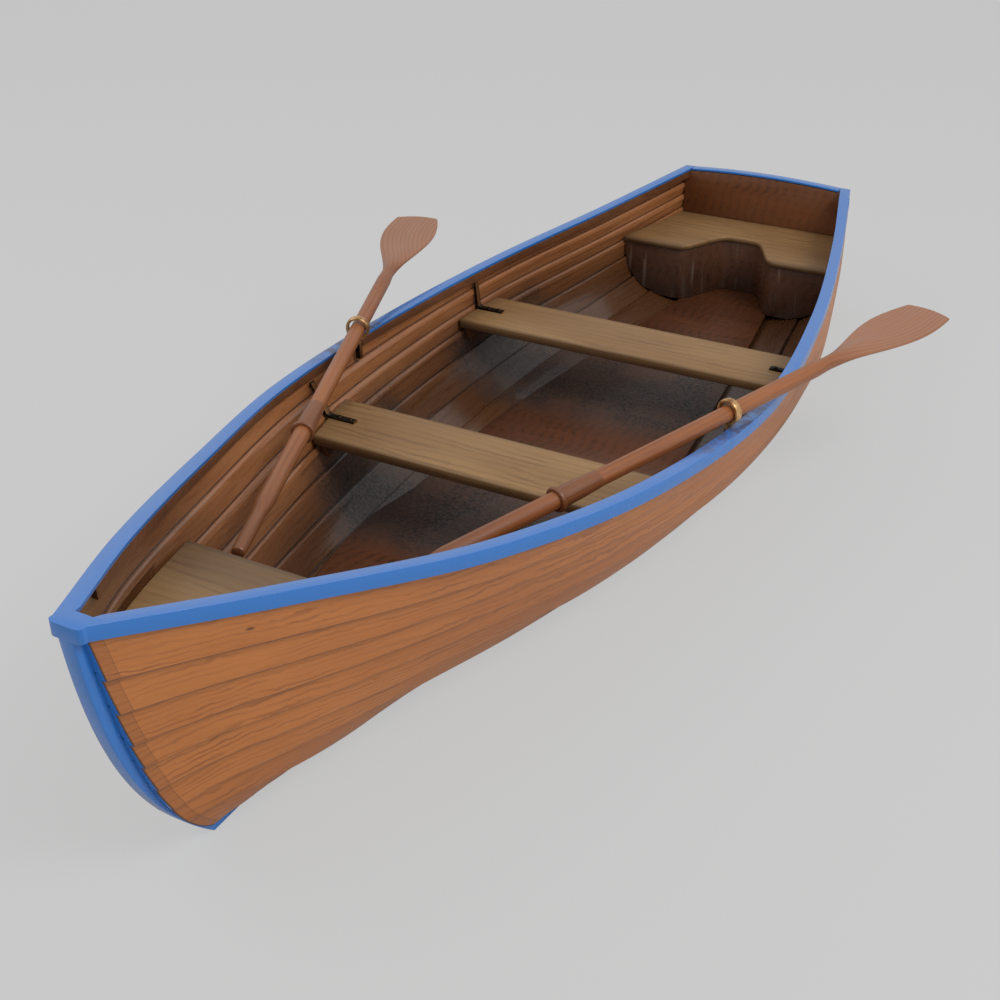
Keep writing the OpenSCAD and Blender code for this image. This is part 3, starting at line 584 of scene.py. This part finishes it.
def make_plank(side, i):
    """One strake, with its end beside the stem painted as the stem is."""
    rings, marks = [], []
    for s in STATIONS:
        profile = plank_profile(i, s)
        ring = s.on_hull(profile[:, 0], profile[:, 1])
        ring[:, 0] = np.maximum(ring[:, 0], PLANK_X)
        rings.append(ring)
        marks.append(profile[:, 2])
    name = f"strake_{side}_{i + 1}"
    offset = i * 0.63 + (7.3 if side == "port" else 2.1)
    mesh = loft_mesh("mesh_" + name, rings, ring_uvs(rings, offset), SIDES[side], {"lap_shade": marks},
                     lambda j: 0 if j < OUTER_FACES else 1, ends=(2, 1))
    new_piece("plank_" + name, mesh, ["planking", "inside_planking", "blue"], [name],
              sharp=50)


for side in SIDES:
    for plank in range(8):
        make_plank(side, plank)


# ---- Rails ----
RAIL_W, RAIL_T, RAIL_FACE, RAIL_PROUD = 0.034, 0.008, 0.031, 0.008
BOW_CAP_L, NOSE_HALF, APRON_T = 0.050, 0.034, 0.008
TRIM_W, TRIM_T, TRIM_STEPS = 0.016, 0.008, 41
RAIL_IN = RAIL_W - PLANK_T - RAIL_PROUD
NOSE_IN = 0.020


def sheer_stretch(s):
    """How much wider a piece along the sheer is when it is cut straight across the boat."""
    rise = s.aft[3] - s.fore[3]
    return math.sqrt(1 + (rise[0] / rise[1])**2)


def rail_ring(s, inner=None):
    """Outer top, inner top, inner underside, leg top, leg foot and outer foot."""
    top, k = s.sheer, sheer_stretch(s)
    drop = RAIL_FACE - RAIL_T
    width = (1 - edge_share(6, s.u)) * s.girth
    out = PLANK_T + (PLANK_T + FIT_GAP) * max(0, drop - PLANK_LAP) / width
    low = s.on_hull(1 - drop / s.girth, out) + np.array([3 * FIT_GAP, 0, 0])
    outer = top[0] + (PLANK_T + RAIL_PROUD) * k
    leg = top[0] + (PLANK_T + 3 * FIT_GAP) * k
    under = top[2] + FIT_GAP
    x = max(NOSE_IN, top[0] - RAIL_IN * k) if inner is None else inner
    return [(outer, top[1], under + RAIL_T), (x, top[1], under + RAIL_T), (x, top[1], under),
            (leg, top[1], under), (min(low[0], outer - 0.003), top[1], low[2]), (outer, top[1], low[2])]


def nose_ring(along, outer, inner_foot):
    """The rail's ring at the nose; its underside is at inner_foot as far as the centreline."""
    y, top = along - LENGTH / 2, place(CONTROLS[0][3])[2] + FIT_GAP
    foot = top - RAIL_FACE + RAIL_T
    inside = foot if inner_foot else top
    return [(outer, y, top + RAIL_T), (0, y, top + RAIL_T), (0, y, inside),
            (NOSE_IN + 0.001, y, inside), (NOSE_IN + 0.001, y, foot), (outer, y, foot)]


# the nose's rounded corners: along, half width
NOSE_ROUND = [(0.0, NOSE_HALF - 0.0085), (0.0012, NOSE_HALF - 0.0040), (0.0040, NOSE_HALF),
              (APRON_T, NOSE_HALF + 0.003)]


def make_rails():
    """Both rails and the cap at the bow, which are painted as one."""
    cut = Station(BOW_CAP_L)
    rings = [nose_ring(u, x, True) for u, x in NOSE_ROUND] + [nose_ring(*NOSE_ROUND[-1], False)]
    rings += [rail_ring(s, 0) for s in STATIONS if s.u < BOW_CAP_L] + [rail_ring(cut, 0), rail_ring(cut)]
    rings += [rail_ring(s) for s in STATIONS if s.u > BOW_CAP_L]
    rings.append([(x, LENGTH / 2 + TRIM_T, z) for x, _, z in rings[-1]])
    built = bmesh.new()
    for side in SIDES.values():
        built.from_mesh(loft_mesh("half", rings, np.zeros((len(rings), 6, 2)), side))
    bmesh.ops.remove_doubles(built, verts=built.verts, dist=1e-5)
    bmesh.ops.dissolve_degenerate(built, dist=1e-5, edges=built.edges)
    inside = [f for f in built.faces if all(abs(v.co.x) < 1e-6 for v in f.verts)]
    bmesh.ops.delete(built, geom=inside, context="FACES")
    round_edges(built, 0.003, 3)
    mesh = bpy.data.meshes.new("rails")
    built.to_mesh(mesh)
    built.free()
    new_piece("painted_rails", mesh, ["blue"], ["rail_port", "rail_starboard", "bow_cap"])


def round_edges(built, width, segments, angle=30):
    """Rounds every edge of a bmesh whose faces meet at more than the angle."""
    bmesh.ops.recalc_face_normals(built, faces=built.faces)
    sharp = [e for e in built.edges if len(e.link_faces) == 2
             and e.calc_face_angle(0) > math.radians(angle)]
    bmesh.ops.bevel(built, geom=sharp, offset=width, segments=segments, profile=0.5,
                    affect="EDGES", clamp_overlap=True)


def reworked(node, width, segments):
    """A bmesh of a CAD node with its flat faces whole again and its edges rounded."""
    built = bmesh.new()
    built.from_mesh(frame["nodes"][node].data)
    bmesh.ops.remove_doubles(built, verts=built.verts, dist=1e-5)
    bmesh.ops.dissolve_limit(built, angle_limit=math.radians(0.5), verts=built.verts,
                             edges=built.edges)
    round_edges(built, width, segments)
    return built


def rework(node, materials, width=0.002, segments=3, bare_above=None):
    """A rounded copy of a CAD node stands for it; above a height it takes the second material."""
    built = reworked(node, width, segments)
    if bare_above is not None:
        everything = built.verts[:] + built.edges[:] + built.faces[:]
        bmesh.ops.bisect_plane(built, geom=everything, plane_co=(0, 0, bare_above), plane_no=(0, 0, 1))
        for face in built.faces:
            face.material_index = int(face.calc_center_median().z > bare_above)
    mesh = bpy.data.meshes.new(node + "_rounded")
    built.to_mesh(mesh)
    built.free()
    new_piece(node + "_finished", mesh, materials, [node])


# along and height of the stem's face and back, as shares of the hull's length and depth
STEM_FRONT = [(0.0733, 0), (0.0260, 0.455), (0.0070, 0.971), (0.0000, 1.697)]
STEM_BACK = [(0.1050, 0.240), (0.0660, 0.400), (0.0340, 0.990), (0.0130, 1.700)]
STEM_ROUND = 0.003
PAINTED_PAST = 0.006    # how far the paint runs in behind the planks' ends


def make_stem():
    """The stem, painted ahead of the planks' ends and bare timber behind them."""
    def curve(shares, t):
        points = np.array([(a * LENGTH, h * DEPTH) for a, h in shares])
        y, z = bezier(points, t)
        return y - LENGTH / 2, z - DRAFT
    half, nick = BACKBONE_W / 2, 0.3 * STEM_ROUND
    rows = [[curve(c, t) for c in (STEM_FRONT, RABBET, STEM_BACK)] for t in np.linspace(0, 1, 49)]
    toe, foot, heel = rows[0]
    rows = [(toe, (foot[0], z), (heel[0], z)) for z in (toe[1], foot[1])] + rows
    rings = []
    for (fy, fz), (ry, rz), (by, bz) in rows:
        edge = max(ry + PAINTED_PAST, fy + 2 * STEM_ROUND)
        rings.append([(half, fy + STEM_ROUND, fz), (half, edge, rz), (half, by, bz),
                      (-half, by, bz), (-half, edge, rz), (-half, fy + STEM_ROUND, fz),
                      (-half + nick, fy + nick, fz), (-half + STEM_ROUND, fy, fz),
                      (half - STEM_ROUND, fy, fz), (half - nick, fy + nick, fz)])
    built = bmesh.new()
    built.from_mesh(loft_mesh("stem", rings, ring_uvs(rings), face_material=lambda j: int(1 <= j <= 3)))
    bmesh.ops.remove_doubles(built, verts=built.verts, dist=1e-5)
    bmesh.ops.dissolve_degenerate(built, dist=1e-5, edges=built.edges)
    for face in built.faces:
        if face.calc_center_median().z < foot[1]:
            face.material_index = 0
    mesh = bpy.data.meshes.new("stem_skin")
    built.to_mesh(mesh)
    built.free()
    new_piece("stem_finished", mesh, ["blue", "inside_timber"], ["stem"], sharp=50)


def make_trim():
    """The painted strip round the transom's edge, in one piece from rail to rail."""
    s = STATIONS[-1]
    shares = np.linspace(0, 1 - (RAIL_FACE - RAIL_T + FIT_GAP) / s.girth, TRIM_STEPS)
    outer = s.on_hull(shares, np.full(TRIM_STEPS, 2 * PLANK_T + FIT_GAP))
    inner = s.on_hull(shares, np.full(TRIM_STEPS, -TRIM_W))
    fore, aft = LENGTH / 2 + FIT_GAP, LENGTH / 2 + TRIM_T
    half = [[(p[0], aft, p[2]), (max(q[0], PLANK_X), aft, q[2]), (max(q[0], PLANK_X), fore, q[2]),
             (p[0], fore, p[2])] for p, q in zip(outer, inner)]
    centre = [(0, y, z) for _, y, z in half[0]]
    rings = half[::-1] + [centre] + [[(-x, y, z) for x, y, z in ring] for ring in half]
    built = bmesh.new()
    built.from_mesh(loft_mesh("trim", rings, ring_uvs(rings)))
    round_edges(built, 0.002, 3)
    mesh = bpy.data.meshes.new("trim_rounded")
    built.to_mesh(mesh)
    built.free()
    new_piece("transom_trim_finished", mesh, ["blue"], ["transom_trim"])


make_rails()
make_stem()
make_trim()
rework("keel", ["blue", "inside_timber"], bare_above=RABBET_HEIGHT - DRAFT)
rework("transom_cap", ["blue"])
rework("transom", ["transom"], 0.0012, 2)
for node in ("bow_seat", "middle_thwart", "aft_thwart"):
    rework(node, ["seats"], 0.005, 4)
rework("stern_seat", ["seats"], 0.008, 4)
rework("stern_panel", ["stern_panel"], 0.0015, 2)
rework("floor_panel", ["floor"], 0.002, 2)
for side in SIDES:
    rework(f"inwale_{side}", ["inwale"], 0.003, 3)
    rework(f"seat_cleats_{side}", ["inside_timber"], 0.003, 3)
    rework(f"middle_knee_{side}", ["iron"], 0.0012, 2)
    rework(f"aft_knee_{side}", ["iron"], 0.0012, 2)
    rework(f"socket_{side}", ["iron"], 0.0008, 2)


# ---- Oars and rowlocks ----
PIN = {side: Vector((sign * 0.550697, -0.1, 0.334283)) for side, sign in SIDES.items()}
OAR_HEADING, OAR_TILT = math.radians(20), math.radians(1.7)
SHAFT_R, HANDLE_REACH, BLADE_REACH, GRIP_L, GRIP_R = 0.021, 1.129, 0.866, 0.150, 0.0165
COLLAR_REACH, COLLAR_R, COLLAR_L, SLEEVE_R, SLEEVE_L = 0.589, 0.031, 0.014, 0.025, 0.122
BLADE_L, BLADE_W, BLADE_TIP_W, BLADE_T = 0.470, 0.172, 0.138, 0.014
RING_R, RING_HOLE_R, RING_W = 0.034, 0.025, 0.020
OAR_DROP = RING_HOLE_R - SHAFT_R - FIT_GAP
TAPER_L, NECK_R, TIP_BULGE, TIP_L = 0.060, 0.0185, 0.012, 0.05
# Along an oar from the ring's centre: where the grip ends and where the blade begins
GRIP_END, BLADE_ROOT = GRIP_L - HANDLE_REACH, BLADE_REACH - BLADE_L
# Shares of the blade's length: its widest place, where its spine ends, where it is a flat leaf
WIDEST, SPINE_END, LEAF_FROM = 0.72, 0.62, 0.3
BLADE_EDGE_T = 0.0032


def along_oar(points):
    """Carries points drawn along +Y from the ring's centre to the shipped oar's line."""
    points = np.asarray(points, float)
    turn = (Matrix.Rotation(-OAR_HEADING, 3, "Z") @ Matrix.Rotation(OAR_TILT, 3, "X"))
    turned = points.reshape(-1, 3) @ np.array(turn).T
    pin = np.array(PIN["port"])
    return (turned + pin).reshape(points.shape)


def smooth(t):
    t = min(max(t, 0.0), 1.0)
    return t * t * (3 - 2 * t)


def blade_half(d):
    """Half width of the blade at a distance from its root."""
    t = d / BLADE_L
    if t < WIDEST:
        return NECK_R + (BLADE_W / 2 - NECK_R) * math.sin(math.pi / 2 * t / WIDEST)**1.6
    return BLADE_W / 2 + (BLADE_TIP_W - BLADE_W) / 2 * ((t - WIDEST) / (1 - WIDEST))**1.8


def oar_section(y):
    """Half width, half thickness and flatness of the oar at a distance from the ring."""
    if y < GRIP_END:
        bulge = 0.0012 * math.sin(math.pi * (y + HANDLE_REACH) / GRIP_L)
        return GRIP_R - 0.001 + bulge, GRIP_R - 0.001 + bulge, 0
    if y < GRIP_END + TAPER_L:
        r = GRIP_R - 0.001 + (SHAFT_R - GRIP_R + 0.001) * smooth((y - GRIP_END) / TAPER_L)
        return r, r, 0
    if y < BLADE_ROOT - TAPER_L:
        return SHAFT_R, SHAFT_R, 0
    if y < BLADE_ROOT:
        r = SHAFT_R + (NECK_R - SHAFT_R) * smooth((y - BLADE_ROOT + TAPER_L) / TAPER_L)
        return r, r, 0
    d = y - BLADE_ROOT
    half = blade_half(d)
    thick = NECK_R + (BLADE_T / 2 - 0.0025 - NECK_R) * smooth(d / (SPINE_END * BLADE_L))
    return max(half, NECK_R), thick, smooth(d / (LEAF_FROM * BLADE_L))


def oar_ring(y, sides=40):
    """One section: round on the shaft, and on the blade a thin leaf with a spine."""
    half, thick, flat = oar_section(y)
    ring = []
    for k in range(sides):
        a = 2 * math.pi * k / sides
        x = half * math.copysign(abs(math.cos(a))**(1 - 0.35 * flat), math.cos(a))
        edge = BLADE_EDGE_T + (thick - BLADE_EDGE_T) * (1 - abs(x) / half)**0.9 if flat else thick
        z_round = thick * math.sin(a)
        z_leaf = math.copysign(edge * min(1.0, abs(math.sin(a)) * 3), math.sin(a))
        z = z_round * (1 - flat) + z_leaf * flat
        d = max(0.0, (y - BLADE_REACH + TIP_L) / TIP_L)
        ring.append((x, y + TIP_BULGE * d * d * (1 - (x / half)**2), z - OAR_DROP))
    return ring


def make_oar(side):
    """An oar, with its sections closest together where they change."""
    stops = [-HANDLE_REACH + 0.0001, -HANDLE_REACH + 0.001, -HANDLE_REACH + 0.004]
    stops += list(np.linspace(-HANDLE_REACH + 0.01, GRIP_END, 8))
    stops += list(np.linspace(GRIP_END + 0.006, GRIP_END + TAPER_L, 8))
    stops += list(np.linspace(GRIP_END + TAPER_L + 0.05, BLADE_ROOT - TAPER_L, 22))
    stops += list(np.linspace(BLADE_ROOT - TAPER_L + 0.008, BLADE_ROOT, 8))
    stops += list(np.linspace(BLADE_ROOT + 0.01, BLADE_REACH, 44))
    rings = [oar_ring(y) for y in stops]
    for k, shrink in ((0, 0.72), (1, 0.88), (2, 0.97)):
        rings[k] = [(x * shrink, y, (z + OAR_DROP) * shrink - OAR_DROP) for x, y, z in rings[k]]
    rings = along_oar(rings)
    mesh = loft_mesh("oar", rings, ring_uvs(rings, 11.0 if side == "port" else 13.5), SIDES[side])
    new_piece(f"oar_{side}_turned", mesh, ["oars"], [f"oar_{side}"], f"oar_{side}", 50)


def turned_ring(y, r, sides=48, drop=OAR_DROP):
    return [(r * math.cos(2 * math.pi * k / sides), y, r * math.sin(2 * math.pi * k / sides) - drop)
            for k in range(sides)]


def make_collar(side):
    """The sleeve with its collar, closed on itself round the shaft."""
    start = -COLLAR_REACH
    bore = SHAFT_R + FIT_GAP / 3
    profile = [(start - COLLAR_L, bore), (start - COLLAR_L, COLLAR_R - 0.004)]
    profile += [(start - COLLAR_L / 2 * (1 + math.cos(a)), COLLAR_R - 0.004 + 0.004 * math.sin(a))
                for a in np.linspace(0.2, math.pi - 0.2, 9)]
    profile += [(start + 0.0005, SLEEVE_R), (start + 0.004, SLEEVE_R - 0.0003)]
    profile += [(start + SLEEVE_L * t, SLEEVE_R - (SLEEVE_R - SHAFT_R - 0.0006) * t**2.2)
                for t in np.linspace(0.15, 1, 10)]
    profile.append((start + SLEEVE_L, bore))
    rings = along_oar([turned_ring(y, r) for y, r in profile])
    mesh = loft_mesh("collar", rings, ring_uvs(rings, 17.0), SIDES[side], caps=False)
    new_piece(f"collar_{side}_turned", mesh, ["oars"], [f"oar_collar_{side}"], f"oar_{side}",
              50)


def make_rowlock(side):
    """A cast ring with a rounded band, on its pin."""
    half = RING_W / 2
    band = []
    for a in np.linspace(math.pi / 2, -math.pi / 2, 9):
        band.append((half * math.sin(a) * 0.98, RING_R - 0.002 + 0.002 * math.cos(a)))
    for a in np.linspace(-math.pi / 2, math.pi / 2, 9):
        band.append((half * math.sin(a) * 0.98, RING_HOLE_R + 0.0018 - 0.0018 * math.cos(a)))
    rings = along_oar([turned_ring(y, r, 72, 0) for y, r in band + band[:1]])
    built = bmesh.new()
    built.from_mesh(loft_mesh("ring", rings, np.zeros((len(rings), 72, 2)), SIDES[side], caps=False))
    top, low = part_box(f"rowlock_{side}")[1].z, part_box(f"rowlock_{side}")[0].z
    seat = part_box(f"socket_{side}")[1].z
    pin_r, shoulder = 0.006, 0.008
    heights = [(low, pin_r - 0.002), (low + 0.002, pin_r), (seat, pin_r), (seat + FIT_GAP, shoulder),
               (seat + 0.006, shoulder), (PIN[side].z - RING_R + 0.002, shoulder - 0.001),
               (PIN[side].z - RING_R + 0.0045, shoulder)]
    turns = [2 * math.pi * k / 32 for k in range(32)]
    stem = [[(PIN[side].x + r * math.cos(a), PIN[side].y + r * math.sin(a), z) for a in turns]
            for z, r in heights]
    built.from_mesh(loft_mesh("pin", stem, np.zeros((len(stem), 32, 2)), 1))
    bmesh.ops.remove_doubles(built, verts=built.verts, dist=1e-6)
    bmesh.ops.recalc_face_normals(built, faces=built.faces)
    mesh = bpy.data.meshes.new("rowlock")
    built.to_mesh(mesh)
    built.free()
    node = f"rowlock_{side}"
    new_piece(node + "_cast", mesh, ["brass"], [node], node, 40)


for side in SIDES:
    make_oar(side)
    make_collar(side)
    make_rowlock(side)


# ---- Floor, lights and camera ----
FLOOR_GREY = srgb(203, 203, 203)
# How much of the floor, as the camera sees it, is one even grey
EVEN_SHARE = 0.8
CAMERA_AT = (1.50673, -3.09715, 1.89699)
CAMERA_FORWARD = (-0.40674, 0.76002, -0.50689)


def make_stage():
    """A plain pale floor that shows as one even grey, with the boat's shadow on it."""
    size = 60
    mesh = bpy.data.meshes.new("stage_floor")
    corners = [(-size, -size), (size, -size), (size, size), (-size, size)]
    mesh.from_pydata([(x, y, -DRAFT - 0.002) for x, y in corners], [], [(0, 1, 2, 3)])
    floor = bpy.data.objects.new("stage_floor", mesh)
    bpy.context.scene.collection.objects.link(floor)
    s = Shader("stage_floor")
    mesh.materials.append(s.finish(FLOOR_GREY, 0.9))
    even = s.add("Emission", Color=FLOOR_GREY, Strength=1.0)
    seen = s.maths("MULTIPLY", s.add("LightPath").outputs["Is Camera Ray"], EVEN_SHARE)
    both = s.add("MixShader")
    s.put(both.inputs[0], seen)
    s.put(both.inputs[1], s.bsdf.outputs[0])
    s.put(both.inputs[2], even.outputs[0])
    s.put(s.tree.nodes["Material Output"].inputs["Surface"], both.outputs[0])


def make_lights():
    world = bpy.data.worlds.new("studio")
    world.use_nodes = True
    world.node_tree.nodes["Background"].inputs["Color"].default_value = (1, 1, 1, 1)
    world.node_tree.nodes["Background"].inputs["Strength"].default_value = 0.55
    bpy.context.scene.world = world
    for name, at, size, power in (("key", (4.5, -1.0, 5.5), 3.0, 210),
                                  ("fill", (-4.5, -2.0, 4.0), 4.0, 60)):
        lamp = bpy.data.lights.new(name, "AREA")
        lamp.energy, lamp.size = power, size
        made = bpy.data.objects.new(name, lamp)
        made.location = at
        made.rotation_mode = "QUATERNION"
        made.rotation_quaternion = (Vector((0, 0, 0.1)) - Vector(at)).to_track_quat("-Z", "Y")
        bpy.context.scene.collection.objects.link(made)


def make_camera():
    camera = bpy.data.objects.new("camera", bpy.data.cameras.new("camera"))
    camera.data.lens, camera.data.sensor_width = 50, 36
    camera.location = CAMERA_AT
    camera.rotation_mode = "QUATERNION"
    camera.rotation_quaternion = Vector(CAMERA_FORWARD).to_track_quat("-Z", "Y")
    bpy.context.scene.collection.objects.link(camera)
    bpy.context.scene.camera = camera


make_stage()
make_lights()
make_camera()
bpy.context.scene.view_settings.view_transform = "Standard"
